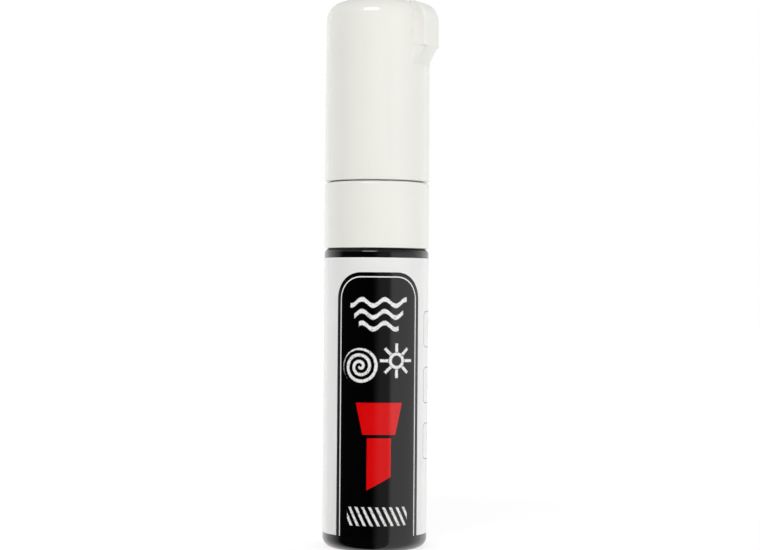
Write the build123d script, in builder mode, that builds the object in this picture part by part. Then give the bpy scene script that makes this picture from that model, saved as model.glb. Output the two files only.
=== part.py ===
from build123d import *

import math
import os

# A broad chisel-nib liquid chalk marker with a pump-action valve.
# It stands on its base on Z = 0 with its axis on Z. The cap's anti-roll nub points along +X.
# All sizes are in millimetres.

# Barrel: the ink reservoir, a moulded tube closed at its base
barrel_radius = 12.75
barrel_wall = 1.4
barrel_height = 72.45
barrel_floor = 2.0
base_round = 2.4
rim_round = 1.3
floor_round = 1.2

# Label: a printed film sleeve, with bare barrel below and above it
label_thickness = 0.1
label_foot_margin = 3.7
label_head_margin = 2.35

# Front section: plug, collar, neck, seal tube and nib sleeve in one moulding
collar_proud = 0.1
collar_height = 16.0
collar_foot_round = 0.2
collar_head_round = 0.8
plug_depth = 10.2
plug_wall = 1.6
plug_fit = 0.05
plug_lead_in = 0.8
plug_bead_radius = 0.5
plug_bead_proud = 0.2
plug_bead_drop = 5.0
neck_height = 12.8
neck_wall = 1.5
neck_lead_in = 0.6
neck_bead_proud = 0.6
neck_bead_rise = 3.3
channel_depth = 8.0
seal_tube_wall = 1.5
seal_tube_rise = 3.2
seal_tube_round = 0.5
sleeve_height = 8.3
sleeve_wall = 1.8
sleeve_flare = 1.0
sleeve_round = 0.6
vent_radius = 0.6

# Nib: a bar of bonded fibre cut to a chisel edge, 8 wide and 5 thick where its diagonal
# stands at this angle and fills its chamber but for the room round it
nib_diagonal_angle = 32.0
nib_reach = 9.0
nib_corner = 0.45
nib_end_round = 0.6
chisel_angle = 40.0
nib_fit = 0.1
nib_chamber_room = 1.15
nib_chamber_height = 12.0
nib_standoff = 6.0

# Valve: seat, cage, stem and spring in the plug and collar, under the nib
seat_drop = 3.2
seat_thickness = 1.8
seat_bore_room = 0.6
stem_radius = 1.7
flute_radius = 0.5
flute_count = 4
stem_tip_gap = 0.05
disc_overlap = 0.9
disc_thickness = 1.2
disc_room = 0.4
guide_radius = 1.3
guide_fit = 0.2
guide_tail = 2.0
guide_point = 0.5
valve_fit = 0.05
cage_flange = 2.0
cage_wall = 1.0
cage_floor = 1.2
cage_snap_radius = 0.4
cage_snap_proud = 0.2
window_count = 4
window_width = 2.6
window_height = 8.0
spring_length = 14.8
spring_radius = 2.6
spring_turns = 6
wire_radius = 0.3
spring_seat_gap = 0.02

# Mixing balls, loose on the reservoir floor
ball_radius = 3.0
ball_spread = 4.2
ball_count = 2
ball_floor_gap = 0.02

# Cap: pull-off, with ribs and a socket for the liner inside
cap_gap = 0.25
cap_recess = 0.03
cap_wall = 1.45
cap_taper = 0.22
cap_top_wall = 1.8
cap_top_round = 4.4
cap_lip_round = 0.35
cap_bead_fit = 0.1
cap_ceiling_round = 2.0
rib_count = 6
rib_depth = 1.0
rib_thickness = 0.8
rib_neck_room = 3.0
socket_wall = 0.9
socket_height = 4.0

# Cap liner: the inner cap that seals over the seal tube
liner_wall = 0.8
liner_top = 1.0
liner_fit = 0.1
liner_room = 0.9
liner_dip = 2.5
liner_round = 1.5
liner_tip_room = 8.0

# Nub on the cap, whose sides flare towards its foot, with a ramp under it
nub_width = 6.9
nub_proud = 2.62
nub_drop = 11.5
nub_foot_draft = 17.0
nub_head_draft = -12.0
nub_head_drop = 0.22
nub_brow_round = 5.2
nub_root_depth = 3.8
nub_round = 0.6
ramp_height = 5.0
ramp_ledge = 0.05
ramp_sink = 0.35
ramp_root_depth = 0.75
ramp_round = 1.8

# Radii, worked out from the outside in, down to the nib that takes the room left by the walls
bore_radius = barrel_radius - barrel_wall
collar_radius = barrel_radius + collar_proud
plug_radius = bore_radius - plug_fit
valve_bore_radius = plug_radius - plug_wall
cap_lip_radius = collar_radius - cap_recess
cap_top_radius = cap_lip_radius - cap_taper
cap_bore_lip_radius = cap_lip_radius - cap_wall
cap_bore_top_radius = cap_top_radius - cap_wall
neck_radius = cap_bore_lip_radius - cap_bead_fit - neck_bead_proud
neck_bore_radius = neck_radius - neck_wall
liner_radius = neck_bore_radius - liner_room
liner_bore_radius = liner_radius - liner_wall
seal_tube_radius = liner_bore_radius - liner_fit
nib_chamber_radius = seal_tube_radius - seal_tube_wall
nib_half_diagonal = nib_chamber_radius - nib_chamber_room
nib_width = 2 * nib_half_diagonal * math.cos(math.radians(nib_diagonal_angle))
nib_thickness = 2 * nib_half_diagonal * math.sin(math.radians(nib_diagonal_angle))
plug_bead_centre = plug_radius + plug_bead_proud - plug_bead_radius

# Radii of the valve, worked out from the stem out
seat_bore_radius = stem_radius + seat_bore_room
disc_radius = seat_bore_radius + disc_overlap
cage_bore_radius = disc_radius + disc_room
cage_radius = cage_bore_radius + cage_wall
valve_flange_radius = valve_bore_radius - valve_fit

# Heights, worked out from the base up
collar_top = barrel_height + collar_height
plug_bottom = barrel_height - plug_depth
plug_bead_height = barrel_height - plug_bead_drop
neck_top = collar_top + neck_height
seal_tube_top = neck_top + seal_tube_rise
sleeve_top = seal_tube_top + sleeve_height
nib_tip = sleeve_top + nib_reach
seat_top = collar_top - seat_drop
seat_bottom = seat_top - seat_thickness
nib_rear = seat_top + nib_standoff
nib_chamber_top = seat_top + nib_chamber_height
disc_bottom = seat_bottom - disc_thickness
cage_floor_top = disc_bottom - spring_length
cage_bottom = cage_floor_top - cage_floor
cap_lip = collar_top + cap_gap
liner_bottom = neck_top - liner_dip
liner_ceiling = nib_tip + liner_tip_room
cap_ceiling = liner_ceiling + liner_top
cap_top = cap_ceiling + cap_top_wall
nub_top = cap_top - nub_head_drop
nub_bottom = cap_top - nub_drop
ramp_bottom = nub_bottom - ramp_height

# How near a size must be to the one looked for when an edge is picked
pick_tolerance = 1e-4

os.makedirs("parts", exist_ok=True)


def ring_at(height):
    """Selects a part's circular edges whose centre lies at the given height."""
    return lambda edge: edge.geom_type == GeomType.CIRCLE and abs(edge.arc_center.Z - height) < pick_tolerance


# Barrel: a round tube, rounded at the base and at the rim, with a groove in the
# bore that the front section's bead snaps into
with BuildPart() as barrel:
    with BuildSketch(Plane.XY):
        Circle(barrel_radius)
    extrude(amount=barrel_height)
    fillet(barrel.edges().filter_by(ring_at(0)), base_round)
    fillet(barrel.edges().filter_by(ring_at(barrel_height)), rim_round)
    with BuildSketch(Plane.XY.offset(barrel_floor)):
        Circle(bore_radius)
    extrude(amount=barrel_height - barrel_floor, mode=Mode.SUBTRACT)
    fillet(barrel.edges().filter_by(ring_at(barrel_floor)), floor_round)
    with BuildSketch(Plane.XZ):
        with Locations((plug_bead_centre, plug_bead_height)):
            Circle(plug_bead_radius + plug_fit)
    revolve(axis=Axis.Z, mode=Mode.SUBTRACT)
barrel.part.label = "barrel"
export_step(barrel.part, "parts/barrel.step")

# Label: a thin sleeve on the barrel
label_height = barrel_height - label_head_margin - label_foot_margin
with BuildPart() as label:
    with BuildSketch(Plane.XY.offset(label_foot_margin)):
        Circle(barrel_radius + label_thickness)
        Circle(barrel_radius, mode=Mode.SUBTRACT)
    extrude(amount=label_height)
label.part.label = "label"
export_step(label.part, "parts/label.step")

# Front section: stacked turned forms, then the nib sleeve lofted from a rounded square to the
# nib's own shape, then the bores cut from both ends
sleeve_width = nib_width + 2 * sleeve_wall
sleeve_depth = nib_thickness + 2 * sleeve_wall
sleeve_corner = nib_corner + sleeve_wall
slot_width = nib_width + 2 * nib_fit
slot_depth = nib_thickness + 2 * nib_fit
with BuildPart() as front_section:
    with BuildSketch(Plane.XY.offset(plug_bottom)):
        Circle(plug_radius)
    extrude(amount=plug_depth)
    chamfer(front_section.edges().filter_by(ring_at(plug_bottom)), plug_lead_in)
    with BuildSketch(Plane.XY.offset(barrel_height)):
        Circle(collar_radius)
    extrude(amount=collar_height)
    collar_edges = front_section.edges().filter_by(
        lambda edge: edge.geom_type == GeomType.CIRCLE and abs(edge.radius - collar_radius) < pick_tolerance
    ).sort_by(Axis.Z)
    fillet(collar_edges[0], collar_foot_round)
    fillet(collar_edges[-1], collar_head_round)
    with BuildSketch(Plane.XY.offset(collar_top)):
        Circle(neck_radius)
    extrude(amount=neck_height)
    chamfer(front_section.edges().filter_by(ring_at(neck_top)), neck_lead_in)
    with BuildSketch(Plane.XY.offset(neck_top - channel_depth)):
        Circle(neck_bore_radius)
        Circle(seal_tube_radius, mode=Mode.SUBTRACT)
    extrude(amount=channel_depth, mode=Mode.SUBTRACT)
    with BuildSketch(Plane.XY.offset(neck_top)):
        Circle(seal_tube_radius)
    extrude(amount=seal_tube_rise)
    fillet(front_section.edges().filter_by(ring_at(seal_tube_top)), seal_tube_round)
    with BuildSketch(Plane.XY.offset(seal_tube_top)):
        RectangleRounded(sleeve_depth + 2 * sleeve_flare, sleeve_width, sleeve_corner + sleeve_flare)
    with BuildSketch(Plane.XY.offset(sleeve_top)):
        RectangleRounded(sleeve_depth, sleeve_width, sleeve_corner)
    loft()
    fillet(front_section.faces().sort_by(Axis.Z)[-1].edges(), sleeve_round)
    with BuildSketch(Plane.XZ):
        with Locations((plug_bead_centre, plug_bead_height)):
            Circle(plug_bead_radius)
        with Locations((neck_radius, collar_top + neck_bead_rise)):
            Circle(neck_bead_proud)
    revolve(axis=Axis.Z)
    with BuildSketch(Plane.XY.offset(plug_bottom)):
        Circle(valve_bore_radius)
    extrude(amount=seat_top - plug_bottom, mode=Mode.SUBTRACT)
    with BuildSketch(Plane.XY.offset(seat_top)):
        Circle(nib_chamber_radius)
    extrude(amount=nib_chamber_height, mode=Mode.SUBTRACT)
    with BuildSketch(Plane.XY.offset(nib_chamber_top)):
        RectangleRounded(slot_depth, slot_width, nib_corner)
        with Locations((slot_depth / 2, 0), (-slot_depth / 2, 0)):
            Circle(vent_radius)
    extrude(amount=sleeve_top - nib_chamber_top, mode=Mode.SUBTRACT)
    with BuildSketch(Plane.XZ):
        with Locations((
            valve_bore_radius + cage_snap_radius - cage_snap_proud,
            seat_bottom - cage_flange - cage_snap_radius - valve_fit,
        )):
            Circle(cage_snap_radius)
    revolve(axis=Axis.Z)
front_section.part.label = "front_section"
export_step(front_section.part, "parts/front_section.step")

# Nib: its side profile with the chisel cut, extruded to the nib's width
chisel_drop = nib_thickness * math.tan(math.radians(chisel_angle))
with BuildPart() as nib:
    with BuildSketch(Plane.XZ):
        with BuildLine():
            Polyline(
                (-nib_thickness / 2, nib_rear),
                (nib_thickness / 2, nib_rear),
                (nib_thickness / 2, nib_tip - chisel_drop),
                (-nib_thickness / 2, nib_tip),
                close=True,
            )
        nib_profile = make_face()
        fillet(nib_profile.vertices(), nib_end_round)
    extrude(amount=nib_width / 2, both=True)
    fillet(nib.faces().filter_by(Axis.Y).edges(), nib_corner)
nib.part.label = "nib"
export_step(nib.part, "parts/nib.step")

# Valve seat: a soft washer clamped between the collar's ledge and the cage
with BuildPart() as valve_seat:
    with BuildSketch(Plane.XY.offset(seat_bottom)):
        Circle(valve_flange_radius)
        Circle(seat_bore_radius, mode=Mode.SUBTRACT)
    extrude(amount=seat_thickness)
valve_seat.part.label = "valve_seat"
export_step(valve_seat.part, "parts/valve_seat.step")

# Valve cage: a flanged cup with ink windows in its wall and a guide hole in its floor
window_middle = (cage_floor_top + seat_bottom - cage_flange) / 2
with BuildPart() as valve_cage:
    with BuildSketch(Plane.XY.offset(cage_bottom)):
        Circle(cage_radius)
    extrude(amount=seat_bottom - cage_bottom)
    with BuildSketch(Plane.XY.offset(seat_bottom - cage_flange)):
        Circle(valve_flange_radius)
    extrude(amount=cage_flange)
    with BuildSketch(Plane.XY.offset(cage_floor_top)):
        Circle(cage_bore_radius)
    extrude(amount=seat_bottom - cage_floor_top, mode=Mode.SUBTRACT)
    with BuildSketch(Plane.XY.offset(cage_bottom)):
        Circle(guide_radius + guide_fit)
    extrude(amount=cage_floor, mode=Mode.SUBTRACT)
    for index in range(window_count):
        window_plane = Plane.XZ.rotated((0, 0, 360 / window_count * index))
        with BuildSketch(window_plane):
            with Locations((0, window_middle)):
                SlotOverall(window_height, window_width, rotation=90)
        extrude(amount=cage_radius, mode=Mode.SUBTRACT)
valve_cage.part.label = "valve_cage"
export_step(valve_cage.part, "parts/valve_cage.step")

# Valve stem: a fluted push rod, the disc that closes the seat, and a guide pin
stem_top = nib_rear - stem_tip_gap
guide_bottom = cage_bottom - guide_tail
with BuildPart() as valve_stem:
    with BuildSketch(Plane.XY.offset(seat_bottom)):
        Circle(stem_radius)
        with PolarLocations(stem_radius, flute_count):
            Circle(flute_radius, mode=Mode.SUBTRACT)
    extrude(amount=stem_top - seat_bottom)
    with BuildSketch(Plane.XY.offset(disc_bottom)):
        Circle(disc_radius)
    extrude(amount=disc_thickness)
    with BuildSketch(Plane.XY.offset(guide_bottom)):
        Circle(guide_radius)
    extrude(amount=disc_bottom - guide_bottom)
    chamfer(valve_stem.edges().filter_by(ring_at(guide_bottom)), guide_point)
valve_stem.part.label = "valve_stem"
export_step(valve_stem.part, "parts/valve_stem.step")

# Valve spring: one wire on a helix, each quarter turn made of two tangent arcs
spring_start = cage_floor_top + wire_radius + spring_seat_gap
spring_end = disc_bottom - wire_radius - spring_seat_gap
spring_pitch = (spring_end - spring_start) / spring_turns


def coil_point(turn):
    """Returns the wire's centre after a number of turns."""
    angle = 2 * math.pi * turn
    return Vector(
        spring_radius * math.cos(angle),
        spring_radius * math.sin(angle),
        spring_start + spring_pitch * turn,
    )


def coil_direction(turn):
    """Returns the wire's direction after a number of turns."""
    angle = 2 * math.pi * turn
    circle_speed = 2 * math.pi * spring_radius
    return Vector(
        -circle_speed * math.sin(angle), circle_speed * math.cos(angle), spring_pitch
    ).normalized()


def coil_arcs(first_turn, last_turn):
    """Draws two arcs that meet tangentially and follow the coil between two turns."""
    start, end = coil_point(first_turn), coil_point(last_turn)
    leaving, arriving = coil_direction(first_turn), coil_direction(last_turn)
    chord, bend = end - start, leaving + arriving
    square = 4 - bend.dot(bend)
    along = chord.dot(bend)
    reach = (math.sqrt(along**2 + square * chord.dot(chord)) - along) / square
    before, after = start + leaving * reach, end - arriving * reach
    meeting = (before + after) / 2
    TangentArc(start, meeting, tangent=leaving)
    TangentArc(meeting, end, tangent=after - before)


with BuildPart() as valve_spring:
    with BuildLine() as wire:
        for quarter in range(4 * spring_turns):
            coil_arcs(quarter / 4, (quarter + 1) / 4)
    with BuildSketch(Plane(origin=coil_point(0), z_dir=coil_direction(0))):
        Circle(wire_radius)
    sweep(path=wire.wires()[0])
valve_spring.part.label = "valve_spring"
export_step(valve_spring.part, "parts/valve_spring.step")

samples_per_turn = 48
turn_points = [coil_point(step / samples_per_turn) for step in range(spring_turns * samples_per_turn + 1)]
neighbour_distances = [
    (turn_points[step] - turn_points[other]).length
    for step in range(len(turn_points))
    for other in range(step + samples_per_turn // 2, len(turn_points))
]
print("least gap between the spring's turns:", round(min(neighbour_distances) - 2 * wire_radius, 3))

# Mixing balls: loose steel balls
ball_height = barrel_floor + ball_radius + ball_floor_gap
for index in range(ball_count):
    ball_place = Vector(ball_spread, 0, ball_height).rotate(Axis.Z, 360 / ball_count * index)
    with BuildPart() as mixing_ball:
        with Locations(ball_place):
            Sphere(ball_radius)
    mixing_ball.part.label = f"mixing_ball_{index + 1}"
    export_step(mixing_ball.part, f"parts/mixing_ball_{index + 1}.step")

# Nub and ramp: the block that keeps the marker from rolling, lofted from its foot to the cap's
# top and cut to its brow, and the slope under it, lofted from the nub's foot into the cap's round
nub_radius = cap_top_radius + nub_proud
nub_root = cap_top_radius - nub_root_depth
nub_half = nub_width / 2
foot_spread = math.tan(math.radians(nub_foot_draft))
head_spread = math.tan(math.radians(nub_head_draft))
with BuildPart() as nub:
    for height, spread in ((nub_bottom, foot_spread), (cap_top, head_spread)):
        root_half = nub_half + (nub_radius - nub_root) * spread
        with BuildSketch(Plane.XY.offset(height)):
            Polygon(
                (nub_root, -root_half), (nub_radius, -nub_half), (nub_radius, nub_half), (nub_root, root_half),
                align=None,
            )
    loft()
    with BuildSketch(Plane.XZ):
        with BuildLine():
            Polyline(
                (nub_root, nub_bottom), (nub_radius, nub_bottom), (nub_radius, nub_top), (nub_root, nub_top),
                close=True,
            )
        nub_profile = make_face()
        fillet(nub_profile.vertices().sort_by(Axis.X)[-2:].sort_by(Axis.Y)[-1], nub_brow_round)
    extrude(amount=nub_width, both=True, mode=Mode.INTERSECT)
    upper_edges = nub.edges().filter_by(lambda edge: edge.center().Z > nub_bottom + nub_round)
    outer_edges = upper_edges.filter_by(lambda edge: edge.center().X > nub_radius - nub_brow_round)
    fillet(outer_edges.filter_by(lambda edge: abs(edge.center().Y) > nub_half / 2), nub_round)

ramp_head = nub_radius - ramp_ledge
ramp_half = nub_half - ramp_ledge
ramp_foot = cap_top_radius - ramp_sink
ramp_side = math.sqrt(ramp_foot**2 - ramp_half**2)
ramp_root = ramp_side - ramp_root_depth
ramp_head_root_half = ramp_half + (ramp_head - ramp_root) * foot_spread
ramp_foot_root_half = math.sqrt(ramp_foot**2 - ramp_root**2)
with BuildPart() as ramp:
    with BuildSketch(Plane.XY.offset(nub_bottom)):
        Polygon(
            (ramp_root, -ramp_head_root_half),
            (ramp_head, -ramp_half),
            (ramp_head, ramp_half),
            (ramp_root, ramp_head_root_half),
            align=None,
        )
    with BuildSketch(Plane.XY.offset(ramp_bottom)):
        with BuildLine():
            foot = ThreePointArc((ramp_side, -ramp_half), (ramp_foot, 0), (ramp_side, ramp_half))
            Polyline(
                foot @ 1, (ramp_root, ramp_foot_root_half), (ramp_root, -ramp_foot_root_half), foot @ 0
            )
        make_face()
    loft()
    sloping_edges = ramp.edges().filter_by(lambda edge: ramp_bottom < edge.center().Z < nub_bottom)
    fillet(sloping_edges.sort_by(Axis.X)[-2:], ramp_round)

# Cap: a tapered cup with the nub, stiffening ribs and a socket for the liner
with BuildPart() as cap:
    with BuildSketch(Plane.XZ):
        with BuildLine():
            Polyline(
                (0, cap_lip), (cap_lip_radius, cap_lip), (cap_top_radius, cap_top), (0, cap_top), close=True
            )
        make_face()
    revolve(axis=Axis.Z)
    fillet(cap.edges().filter_by(ring_at(cap_top)), cap_top_round)
    fillet(cap.edges().filter_by(ring_at(cap_lip)), cap_lip_round)
    add(nub.part)
    add(ramp.part)
    with BuildSketch(Plane.XZ):
        with BuildLine():
            Polyline(
                (0, cap_lip),
                (cap_bore_lip_radius, cap_lip),
                (cap_bore_top_radius, cap_ceiling),
                (0, cap_ceiling),
                close=True,
            )
        make_face()
    revolve(axis=Axis.Z, mode=Mode.SUBTRACT)
    fillet(cap.edges().filter_by(ring_at(cap_ceiling)), cap_ceiling_round)
    with BuildSketch(Plane.XY.offset(neck_top + rib_neck_room)):
        with PolarLocations((cap_bore_lip_radius + cap_bore_top_radius - rib_depth) / 2, rib_count):
            Rectangle(rib_depth + cap_taper, rib_thickness)
    extrude(amount=cap_ceiling - neck_top - rib_neck_room)
    with BuildSketch(Plane.XY.offset(cap_ceiling - socket_height)):
        Circle(liner_radius + socket_wall)
        Circle(liner_radius, mode=Mode.SUBTRACT)
    extrude(amount=socket_height)
cap.part.label = "cap"
export_step(cap.part, "parts/cap.step")

# Cap liner: a deep cup pressed into the socket
with BuildPart() as cap_liner:
    with BuildSketch(Plane.XY.offset(liner_bottom)):
        Circle(liner_radius)
    extrude(amount=cap_ceiling - liner_bottom)
    with BuildSketch(Plane.XY.offset(liner_bottom)):
        Circle(liner_bore_radius)
    extrude(amount=liner_ceiling - liner_bottom, mode=Mode.SUBTRACT)
    fillet(cap_liner.edges().filter_by(ring_at(liner_ceiling)), liner_round)
cap_liner.part.label = "cap_liner"
export_step(cap_liner.part, "parts/cap_liner.step")
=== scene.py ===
import math

import bpy
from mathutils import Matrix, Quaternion, Vector


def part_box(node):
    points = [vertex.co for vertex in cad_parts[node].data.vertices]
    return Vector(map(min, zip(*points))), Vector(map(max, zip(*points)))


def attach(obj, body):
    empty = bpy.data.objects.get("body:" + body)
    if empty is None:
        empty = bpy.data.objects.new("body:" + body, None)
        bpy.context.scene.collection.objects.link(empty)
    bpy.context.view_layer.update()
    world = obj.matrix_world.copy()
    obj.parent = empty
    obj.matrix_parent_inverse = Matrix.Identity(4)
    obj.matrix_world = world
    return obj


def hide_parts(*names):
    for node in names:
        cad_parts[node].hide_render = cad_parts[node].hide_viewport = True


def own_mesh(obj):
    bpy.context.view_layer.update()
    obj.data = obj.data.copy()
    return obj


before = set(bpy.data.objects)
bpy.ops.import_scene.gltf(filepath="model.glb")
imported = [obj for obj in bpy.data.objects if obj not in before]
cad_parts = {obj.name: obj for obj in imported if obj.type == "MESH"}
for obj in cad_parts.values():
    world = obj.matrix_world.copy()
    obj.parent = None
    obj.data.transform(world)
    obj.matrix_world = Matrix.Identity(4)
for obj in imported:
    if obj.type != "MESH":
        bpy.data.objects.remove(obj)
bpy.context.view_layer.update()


# Barrel: the ink reservoir, one injection moulding in black polypropylene with a closed base.
# The tool is polished, so the skin is glossy with a faint orange peel, and only the foot that
# slides over desks is dulled by fine scuffs.
class Signal:
    """A socket in a node tree. Sums on it add Math nodes, and node() adds any other kind."""

    def __init__(self, tree, socket=None):
        self.tree = tree
        self.socket = socket

    def node(self, kind, settings, inputs, output=0):
        """Adds a node, sets it up, fills its sockets and gives one of its outputs."""
        made = self.tree.nodes.new(kind)
        for name, value in settings.items():
            if name == "stops":
                while len(made.color_ramp.elements) < len(value):
                    made.color_ramp.elements.new(1.0)
                for element, (position, level) in zip(made.color_ramp.elements, value):
                    element.position = position
                    element.color = (level, level, level, 1.0)
            else:
                setattr(made, name, value)
        for name, value in inputs.items():
            if isinstance(value, Signal):
                self.tree.links.new(value.socket, made.inputs[name])
            else:
                made.inputs[name].default_value = value
        return Signal(self.tree, made.outputs[output])

    def into(self, node, name):
        """Links the signal to a socket of a node."""
        self.tree.links.new(self.socket, node.inputs[name])

    def math(self, operation, *others):
        """Adds a Math node that takes the signal first, and then other values."""
        return self.node("ShaderNodeMath", {"operation": operation}, dict(enumerate((self,) + others)))

    def __add__(self, other):
        return self.math("ADD", other)

    def __radd__(self, other):
        return self.math("ADD", other)

    def __sub__(self, other):
        return self.math("SUBTRACT", other)

    def __rsub__(self, other):
        return self.math("MULTIPLY_ADD", -1.0, other)

    def __mul__(self, other):
        return self.math("MULTIPLY", other)

    def __rmul__(self, other):
        return self.math("MULTIPLY", other)

    def __truediv__(self, other):
        return self.math("DIVIDE", other)

    def __abs__(self):
        return self.math("ABSOLUTE")

    def most(self, *others):
        """The largest of the signal and other values."""
        largest = self
        for other in others:
            largest = largest.math("MAXIMUM", other)
        return largest

    def below(self, edge, soft):
        """1 where the signal is under an edge, 0 over it, with a ramp of the given width between."""
        return self.node(
            "ShaderNodeMath", {"operation": "MULTIPLY_ADD", "use_clamp": True},
            {0: self, 1: -1.0 / soft, 2: edge / soft + 0.5},
        )

    def blend(self, low, high):
        """Goes from one colour to another as the signal goes from 0 to 1."""
        return self.node("ShaderNodeMix", {"data_type": "RGBA"}, {0: self, 6: low, 7: high}, 2)

    def axis(self, name):
        """One coordinate of a place or a direction."""
        return self.node("ShaderNodeSeparateXYZ", {}, {"Vector": self}, name)

    def grain(self, scale, detail=2.0, stretch=(1.0, 1.0, 1.0)):
        """Noise over a place, with features about 1 / scale of a metre across."""
        placed = self.node("ShaderNodeMapping", {}, {"Vector": self, "Scale": stretch})
        return self.node("ShaderNodeTexNoise", {}, {"Vector": placed, "Scale": scale, "Detail": detail})

    def relief(self, depth):
        """A normal that lifts the surface by up to depth metres where the signal is 1."""
        return self.node("ShaderNodeBump", {}, {"Height": self, "Strength": 1.0, "Distance": depth})


def new_finish(name):
    """Starts a material: gives it, its shader and the place on the piece in Object coordinates."""
    material = bpy.data.materials.new(name)
    material.use_nodes = True
    tree = material.node_tree
    place = Signal(tree).node("ShaderNodeTexCoord", {}, {}, "Object")
    return material, tree.nodes["Principled BSDF"], place


def dress(piece, material):
    """Puts a finish on a piece in place of the one that it has."""
    piece.data.materials.clear()
    piece.data.materials.append(material)


deep_black = (0.0006, 0.0006, 0.0007, 1.0)
flow_black = (0.002, 0.002, 0.0021, 1.0)
foot_height = 0.0006
foot_fade = 0.001
black_plastic, shader, place = new_finish("barrel_black_gloss")
flow = place.grain(90.0)
scuff = place.grain(2600.0, 4.0, (1.0, 0.12, 1.0)) * place.axis("Z").below(foot_height, foot_fade)
flow.blend(deep_black, flow_black).into(shader, "Base Color")
(0.06 + flow * 0.03 + scuff * 0.4).into(shader, "Roughness")
(place.grain(700.0) + scuff).relief(0.000004).into(shader, "Normal")
dress(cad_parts["barrel"], black_plastic)


# Mixing balls: two polished steel balls that lie loose in the reservoir and stir the pigment
# when the marker is shaken. They carry fine tumbling marks.
ball_dull = (0.56, 0.56, 0.58, 1.0)
ball_bright = (0.68, 0.68, 0.7, 1.0)
ball_steel, shader, place = new_finish("mixing_ball_steel")
marks = place.grain(3000.0, 5.0)
marks.blend(ball_dull, ball_bright).into(shader, "Base Color")
(0.08 + marks * 0.1).into(shader, "Roughness")
marks.relief(0.000002).into(shader, "Normal")
shader.inputs["Metallic"].default_value = 1.0
dress(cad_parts["mixing_ball_1"], ball_steel)
dress(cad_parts["mixing_ball_2"], ball_steel)


# Label: a gloss film sleeve shrunk round the barrel, printed with a rounded blackboard field,
# chalk doodles and a chisel nib in its sleeve, in red. Pictograms run down its side, and its
# overlap is at the back. The print is laid out in millimetres, round from its front and up.
label_radius = 12.85
front_angle = math.radians(-59.0)
field_middle = 0.7
print_edge = 0.06
chalk_edge = 0.14
hairline_half_width = 0.12
label_film, shader, place = new_finish("label_printed_film")
up = place.axis("Z") * 1000.0
angle = place.axis("Y").math("ARCTAN2", place.axis("X")) - front_angle
round_about = angle.math("WRAP", math.pi, -math.pi) * label_radius
from_middle = round_about - field_middle


def offsets(across, height):
    """How far a point lies round and up from a place in the print."""
    return from_middle - across, up - height


def distance(across, along):
    """How far a point lies from a centre, given its two offsets."""
    return (across * across + along * along).math("SQRT")


def rounded_box(across, along, half_width, half_height, corner):
    """How far a point lies outside a box with rounded corners, or inside where it's negative."""
    over = abs(across) - (half_width - corner)
    above = abs(along) - (half_height - corner)
    outside = distance(over.most(0.0), above.most(0.0))
    return outside + over.most(above).math("MINIMUM", 0.0) - corner


def hairline(gap):
    """A thin printed line where a point's distance from it is next to nothing."""
    return abs(gap).below(hairline_half_width, print_edge)


keyline_inset = 1.1
keyline_half_width = 0.14
field = rounded_box(*offsets(0.0, 29.0), half_width=10.9, half_height=37.6, corner=6.5)
black_field = field.below(0.0, print_edge)
keyline = abs(field + keyline_inset).below(keyline_half_width, print_edge)

chalk_fray = 0.5
worn_through = 0.72
dust = place.grain(6500.0, 3.0)
patches = place.grain(1500.0, 2.0)
kept = (dust * 0.7 + patches * 0.5).below(worn_through, chalk_edge)


def chalk(gap, half_width):
    """A chalk stroke where a point lies within half a width of its line, frayed by the dust."""
    return (gap + (dust - 0.5) * chalk_fray).below(half_width, chalk_edge)


wave_length = 5.46
wave_height = 0.75
wave_slant = 0.8


def wave(height, reach):
    """A wavy stroke. Its line slants, so the gap across it is a share of the gap straight up."""
    across, along = offsets(0.0, height)
    crest = (across * (2 * math.pi / wave_length)).math("SINE") * wave_height
    gap = abs(along - crest) * wave_slant
    return chalk(gap.most(abs(across) - reach), half_width=0.42)


waves = wave(59.4, reach=6.6).most(wave(56.6, reach=5.6), wave(53.8, reach=4.4))

curl_step = 1.55
curl_radius = 4.0
curl_across, curl_along = offsets(-4.5, 44.2)
curl_out = distance(curl_across, curl_along)
curl_turn = curl_along.math("ARCTAN2", curl_across) / (2 * math.pi)
curl_line = abs((curl_out / curl_step - curl_turn).math("FRACT") - 0.5) * curl_step
curl = chalk(curl_line.most(curl_out - curl_radius), half_width=0.36)

sun_radius = 1.6
ray_count = 8
ray_middle = 3.1
ray_half_length = 0.65
sun_across, sun_along = offsets(4.4, 45.6)
sun_out = distance(sun_across, sun_along)
sun_turn = sun_along.math("ARCTAN2", sun_across).math("PINGPONG", math.pi / ray_count)
rays = (sun_turn.math("SINE") * sun_out).most(abs(sun_out - ray_middle) - ray_half_length)
sun = chalk(abs(sun_out - sun_radius), half_width=0.36).most(chalk(rays, half_width=0.34))

hatch_pitch = 1.5
hatch_right = 0.9
hatch_up = 0.45
hatch_across, hatch_along = offsets(0.0, 8.6)
hatch_turn = (hatch_across * hatch_right + hatch_along * hatch_up) / hatch_pitch
hatch_line = abs(hatch_turn.math("FRACT") - 0.5) * hatch_pitch
hatch_box = rounded_box(hatch_across, hatch_along, half_width=7.2, half_height=1.9, corner=0.4)
hatch = chalk(hatch_line.most(hatch_box), half_width=0.3)

doodles = waves.most(curl, sun, hatch) * kept

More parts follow.
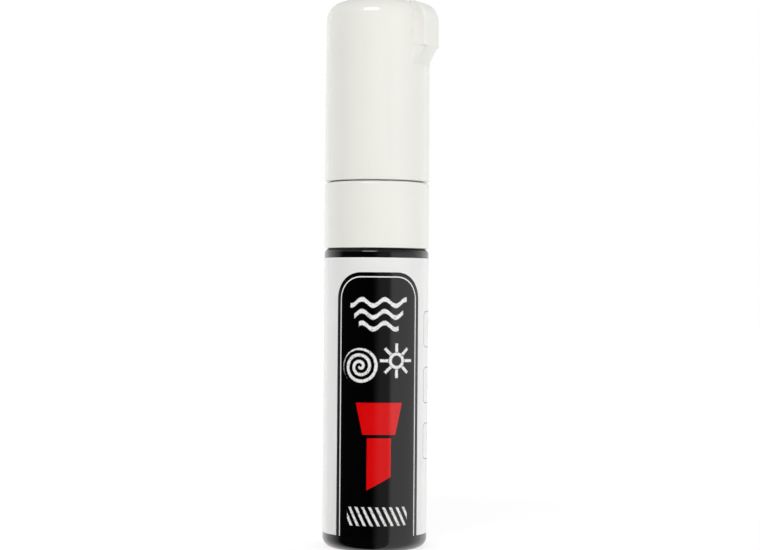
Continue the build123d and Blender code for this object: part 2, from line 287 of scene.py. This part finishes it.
nib_half_width = 2.9
nib_top = 1.8
nib_bottom = 9.0
nib_slope = 0.55
sleeve_half_width = 4.0
sleeve_flare = 0.22
sleeve_top = 10.2
sleeve_bottom = 2.6
nib_across, nib_along = offsets(0.2, 25.4)
nib_cut = (nib_across * nib_slope - nib_along - nib_bottom) / math.hypot(1.0, nib_slope)
nib_shape = (abs(nib_across) - nib_half_width).most(nib_along - nib_top, nib_cut)
sleeve_side = abs(nib_across) - (nib_along - sleeve_bottom) * sleeve_flare - sleeve_half_width
sleeve_shape = sleeve_side.most(nib_along - sleeve_top, sleeve_bottom - nib_along)
red_nib = nib_shape.math("MINIMUM", sleeve_shape).below(0.0, print_edge)


def pictogram(height, dot_radius):
    """A dot's outline in a rounded frame, for one of the three line widths."""
    across, along = offsets(17.9, height)
    border = rounded_box(across, along, half_width=4.3, half_height=4.3, corner=1.2)
    return hairline(border).most(hairline(distance(across, along) - dot_radius))


pictograms = pictogram(53.0, dot_radius=1.98).most(
    pictogram(39.5, dot_radius=1.17), pictogram(26.0, dot_radius=0.36)
)

back_round = 33.0
back_height = 36.0
overlap_edge = 0.1
both_ways = abs(round_about)
back_box = rounded_box(both_ways - back_round, up - back_height, half_width=4.4, half_height=24.0, corner=2.2)
# At the overlap a thin grey line is painted shade, standing in for the shade at the step where the film lies
# over itself.
overlap = abs(both_ways - label_radius * math.pi).below(hairline_half_width, overlap_edge)

film_grey = (0.78, 0.78, 0.775, 1.0)
film_white = (0.82, 0.82, 0.81, 1.0)
line_grey = (0.3, 0.3, 0.31, 1.0)
chalk_white = (0.84, 0.84, 0.83, 1.0)
nib_red = (0.67, 0.0003, 0.001, 1.0)
film = place.grain(160.0).blend(film_grey, film_white)
# The pictograms and the back frame are print; the grey at the overlap is painted shade.
with_lines = pictograms.most(hairline(back_box), overlap * 0.6).blend(film, line_grey)
with_field = black_field.blend(with_lines, deep_black)
with_chalk = keyline.most(doodles).blend(with_field, chalk_white)
red_nib.blend(with_chalk, nib_red).into(shader, "Base Color")
(0.1 + place.grain(500.0) * 0.05).into(shader, "Roughness")
(place.grain(420.0) + overlap * 2.0).relief(0.000006).into(shader, "Normal")
dress(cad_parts["label"], label_film)


# Front section: one white polypropylene moulding with the collar that shows, and inside the
# cap the neck, the seal tube and the sleeve that holds the nib. It snaps into the barrel.
warm_white = (0.8, 0.8, 0.745, 1.0)
flow_white = (0.835, 0.835, 0.78, 1.0)
white_plastic, shader, place = new_finish("white_moulding_gloss")
flow = place.grain(70.0)
speck = place.grain(1800.0, 3.0)
flow.blend(warm_white, flow_white).into(shader, "Base Color")
(0.1 + flow * 0.03 + speck * 0.03).into(shader, "Roughness")
(place.grain(520.0) + speck * 0.3).relief(0.000006).into(shader, "Normal")
dress(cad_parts["front_section"], white_plastic)


# Valve seat: a soft rubber washer, punched from sheet and clamped between the collar's ledge
# and the cage. Its skin is dull, with a fine talc bloom.
rubber_black = (0.028, 0.028, 0.028, 1.0)
talc_grey = (0.06, 0.06, 0.058, 1.0)
seat_rubber, shader, place = new_finish("valve_seat_rubber")
bloom = place.grain(1500.0, 4.0)
bloom.blend(rubber_black, talc_grey).into(shader, "Base Color")
(0.7 + bloom * 0.2).into(shader, "Roughness")
bloom.relief(0.00001).into(shader, "Normal")
dress(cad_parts["valve_seat"], seat_rubber)


# Valve cage: a windowed cup in uncoloured polyethylene that snaps into the plug's bore. It
# guides the stem and carries the spring, and its skin is waxy and dull.
wax_grey = (0.68, 0.68, 0.65, 1.0)
wax_white = (0.77, 0.77, 0.735, 1.0)
natural_plastic, shader, place = new_finish("natural_polyethylene")
cloud = place.grain(260.0, 3.0)
cloud.blend(wax_grey, wax_white).into(shader, "Base Color")
(0.42 + cloud * 0.12).into(shader, "Roughness")
place.grain(900.0, 3.0).relief(0.000008).into(shader, "Normal")
dress(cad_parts["valve_cage"], natural_plastic)


# Valve spring: drawn stainless wire wound on a mandrel, with one closed turn at each end that
# sits on the cage's floor and under the stem's disc. In the marker it shortens as the nib is
# pressed; here it is wound at the length of its part and moves with the barrel.
wire_radius = 0.0003
wire_sides = 14
coil_radius = 0.0026
closed_rise = 0.00066
open_turns = 5
steps_per_turn = 40
weld_gap = 0.00002
smooth_angle = math.radians(40.0)
spring_low, spring_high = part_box("valve_spring")
open_rise = (spring_high.z - spring_low.z - 2 * wire_radius - 2 * closed_rise) / open_turns
wound = []
start = spring_low.z + wire_radius
for turns, rise in ((1, closed_rise), (open_turns, open_rise), (1, closed_rise)):
    bpy.ops.object.select_all(action="DESELECT")
    bpy.ops.mesh.primitive_circle_add(
        vertices=wire_sides, radius=wire_radius, location=(coil_radius, 0.0, start),
        rotation=(math.pi / 2, 0.0, 0.0),
    )
    coil = bpy.context.object
    bpy.ops.object.transform_apply(location=True, rotation=True, scale=True)
    screw = coil.modifiers.new("winding", "SCREW")
    screw.axis = "Z"
    screw.iterations = turns
    screw.screw_offset = rise
    screw.steps = steps_per_turn
    screw.render_steps = steps_per_turn
    bpy.ops.object.modifier_apply(modifier=screw.name)
    wound.append(coil)
    start += turns * rise
for coil in wound:
    coil.select_set(True)
bpy.context.view_layer.objects.active = wound[0]
bpy.ops.object.join()
spring = bpy.context.object
spring.name = "closing_spring"
bpy.ops.object.mode_set(mode="EDIT")
bpy.ops.mesh.select_all(action="SELECT")
bpy.ops.mesh.remove_doubles(threshold=weld_gap)
bpy.ops.mesh.fill_holes(sides=0)
bpy.ops.mesh.normals_make_consistent(inside=False)
bpy.ops.object.mode_set(mode="OBJECT")
bpy.ops.object.shade_smooth_by_angle(angle=smooth_angle)

wire_grey = (0.5, 0.5, 0.52, 1.0)
wire_bright = (0.62, 0.62, 0.64, 1.0)
spring_steel, shader, place = new_finish("spring_drawn_wire")
drawn = place.grain(2400.0, 3.0, (1.0, 1.0, 4.0))
drawn.blend(wire_grey, wire_bright).into(shader, "Base Color")
(0.2 + drawn * 0.15).into(shader, "Roughness")
drawn.relief(0.000003).into(shader, "Normal")
shader.inputs["Metallic"].default_value = 1.0
dress(spring, spring_steel)
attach(spring, "barrel")
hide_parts("valve_spring")
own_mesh(spring)


# Valve stem: a fluted push rod with the disc that closes the seat, moulded in the same
# uncoloured polyethylene as the cage. The nib pushes it down and the spring brings it back.
dress(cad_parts["valve_stem"], natural_plastic)


# Nib: a bar of bonded polyester fibre, ground to a chisel edge. The fibres run along it, so
# its sides are finely streaked and its cut end is a felt of fibre ends.
fibre_grey = (0.7, 0.69, 0.64, 1.0)
fibre_white = (0.87, 0.86, 0.82, 1.0)
nib_fibre, shader, place = new_finish("nib_bonded_fibre")
strands = place.grain(3200.0, 4.0, (1.0, 1.0, 0.06))
felt = place.grain(4200.0, 3.0)
(strands * 0.7 + felt * 0.3).blend(fibre_grey, fibre_white).into(shader, "Base Color")
(0.8 + felt * 0.15).into(shader, "Roughness")
(strands + felt * 0.6).relief(0.00006).into(shader, "Normal")
dress(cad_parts["nib"], nib_fibre)


# Cap: a pull-off cup in the front section's white polypropylene, with the block near its top
# that keeps the marker from rolling. It snaps over the bead on the neck.
dress(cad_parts["cap"], white_plastic)


# Cap liner: an inner cup of waxy uncoloured polyethylene, pressed into a socket under the
# cap's top. It closes over the seal tube and keeps the nib wet.
dress(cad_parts["cap_liner"], natural_plastic)


# Floor: a flat white sheet that the marker stands on. To the camera it glows white, and a little
# less near the marker, so that its soft shadow shows there. Polished surfaces look through it at
# the studio.
floor_width = 6.0
floor_gap = 0.00003
sheet_white = (0.9, 0.9, 0.9, 1.0)
shadow_grey = (0.25, 0.25, 0.25, 1.0)
plain_white = (1.0, 1.0, 1.0, 1.0)
under_white = (0.8, 0.8, 0.8, 1.0)
near_radius = 0.25
near_fade = 0.3
bpy.ops.object.select_all(action="DESELECT")
bpy.ops.mesh.primitive_plane_add(size=floor_width, location=(0.0, 0.0, -floor_gap))
floor = bpy.context.object
floor.name = "floor"
floor_white = bpy.data.materials.new("floor_white")
floor_white.use_nodes = True
tree = floor_white.node_tree
tree.nodes.clear()
signal = Signal(tree)
seen = signal.node("ShaderNodeLightPath", {}, {}, "Is Camera Ray")
mirrored = signal.node("ShaderNodeLightPath", {}, {}, "Is Glossy Ray")
place = signal.node("ShaderNodeTexCoord", {}, {}, "Object")
reach = place.node("ShaderNodeVectorMath", {"operation": "LENGTH"}, {0: place}, "Value")
glow_colour = reach.below(near_radius, near_fade).blend(plain_white, under_white)
glow = signal.node("ShaderNodeEmission", {}, {"Color": glow_colour, "Strength": 1.0})
shadow = signal.node("ShaderNodeBsdfDiffuse", {}, {"Color": shadow_grey})
sheet = signal.node("ShaderNodeBsdfDiffuse", {}, {"Color": sheet_white})
clear = signal.node("ShaderNodeBsdfTransparent", {}, {})
shown = signal.node("ShaderNodeAddShader", {}, {0: shadow, 1: glow})
lit = signal.node("ShaderNodeMixShader", {}, {0: seen, 1: sheet, 2: shown})
whole = signal.node("ShaderNodeMixShader", {}, {0: mirrored, 1: lit, 2: clear})
whole.into(tree.nodes.new("ShaderNodeOutputMaterial"), "Surface")
dress(floor, floor_white)


# Camera: a short telephoto just under the marker's middle height, turned from -Y towards the
# block on the cap. It is level but for a slight tilt and lean.
camera_turn = math.radians(31.0)
camera_reach = 0.44
camera_height = 0.0612
aim_right = 0.00087
aim_height = 0.06608
camera_lean = math.radians(0.455)
towards_camera = Vector((math.sin(camera_turn), -math.cos(camera_turn), 0.0))
rightwards = Vector((math.cos(camera_turn), math.sin(camera_turn), 0.0))
upwards = Vector((0.0, 0.0, 1.0))
camera = bpy.data.objects.new("camera", bpy.data.cameras.new("camera"))
bpy.context.scene.collection.objects.link(camera)
camera.data.sensor_width = 36.0
camera.data.lens = 85.26
camera.data.clip_start = 0.01
camera.location = towards_camera * camera_reach + upwards * camera_height
look = rightwards * aim_right + upwards * aim_height - camera.location
camera.rotation_mode = "QUATERNION"
camera.rotation_quaternion = look.to_track_quat("-Z", "Y") @ Quaternion(upwards, camera_lean)
bpy.context.scene.camera = camera


# Studio: a white backdrop behind the marker, in a room of soft panels that light it and show in
# its gloss: bright behind and on the right, dark at the front left, under a dim ceiling. Three
# softboxes add to that light, and only the key shows in the gloss.

# Brightness of the walls by bearing, in degrees to the right of the camera's own.
wall_levels = (
    (-180, 1.2), (-160, 1.3), (-138, 1.85), (-112, 1.45), (-98, 0.9), (-88, 0.42), (-80, 0.02), (-6, 0.0),
    (0, 0.12), (10, 0.32), (29, 0.3), (35, 1.15), (72, 1.15), (88, 1.18), (106, 1.6), (130, 1.9),
    (150, 1.3), (180, 1.2),
)
wall_scale = 3.0
wall_fade = 0.8

# Brightness of the ceiling by the sine of its height above the horizon.
ceiling_levels = ((0.42, 0.0), (0.58, 0.5), (0.8, 0.45), (1.0, 0.2))
world = bpy.data.worlds.new("studio")
bpy.context.scene.world = world
world.use_nodes = True
tree = world.node_tree
tree.nodes.clear()
signal = Signal(tree)
seen = signal.node("ShaderNodeLightPath", {}, {}, "Is Camera Ray")
through = signal.node("ShaderNodeLightPath", {}, {}, "Is Transmission Ray")
ray = signal.node("ShaderNodeTexCoord", {}, {}, "Generated")
ahead = ray.node("ShaderNodeVectorMath", {"operation": "DOT_PRODUCT"}, {0: ray, 1: towards_camera}, "Value")
aside = ray.node("ShaderNodeVectorMath", {"operation": "DOT_PRODUCT"}, {0: ray, 1: rightwards}, "Value")
bearing = aside.math("ARCTAN2", ahead) / (2 * math.pi) + 0.5
overhead = ray.axis("Z").most(0.0)
wall_stops = [(0.5 + turn / 360, level / wall_scale) for turn, level in wall_levels]
walls = bearing.node("ShaderNodeValToRGB", {"stops": wall_stops}, {"Fac": bearing}) * wall_scale
ceiling = overhead.node("ShaderNodeValToRGB", {"stops": ceiling_levels}, {"Fac": overhead})
room_light = (walls * (1.0 - overhead * wall_fade)).most(ceiling)
room = signal.node("ShaderNodeBackground", {}, {"Color": room_light, "Strength": 1.0})
backdrop = signal.node("ShaderNodeBackground", {}, {"Color": plain_white, "Strength": 1.0})
whole = signal.node("ShaderNodeMixShader", {}, {0: seen.most(through), 1: room, 2: backdrop})
whole.into(tree.nodes.new("ShaderNodeOutputWorld"), "Surface")

lamp_aim = 0.1


def add_softbox(name, turn, rise, reach, width, depth, watts, mirrored):
    """Adds a soft lamp that faces the marker from a bearing and a height, both in degrees."""
    softbox = bpy.data.objects.new(name, bpy.data.lights.new(name, "AREA"))
    bpy.context.scene.collection.objects.link(softbox)
    softbox.data.shape = "RECTANGLE"
    softbox.data.size = width
    softbox.data.size_y = depth
    softbox.data.energy = watts
    softbox.visible_glossy = mirrored
    side = math.radians(turn)
    lift = math.radians(rise)
    level = towards_camera * math.cos(side) + rightwards * math.sin(side)
    away = level * math.cos(lift) + upwards * math.sin(lift)
    softbox.location = upwards * lamp_aim + away * reach
    softbox.rotation_mode = "QUATERNION"
    softbox.rotation_quaternion = (-away).to_track_quat("-Z", "Y")


add_softbox("key_softbox", turn=-18.0, rise=40.0, reach=0.8, width=0.4, depth=0.2, watts=2.0, mirrored=True)
add_softbox("fill_softbox", turn=3.0, rise=12.0, reach=1.0, width=0.8, depth=0.5, watts=3.05, mirrored=False)
add_softbox("back_softbox", turn=180.0, rise=30.0, reach=1.0, width=0.8, depth=0.5, watts=1.2, mirrored=False)
bpy.context.scene.view_settings.view_transform = "Standard"
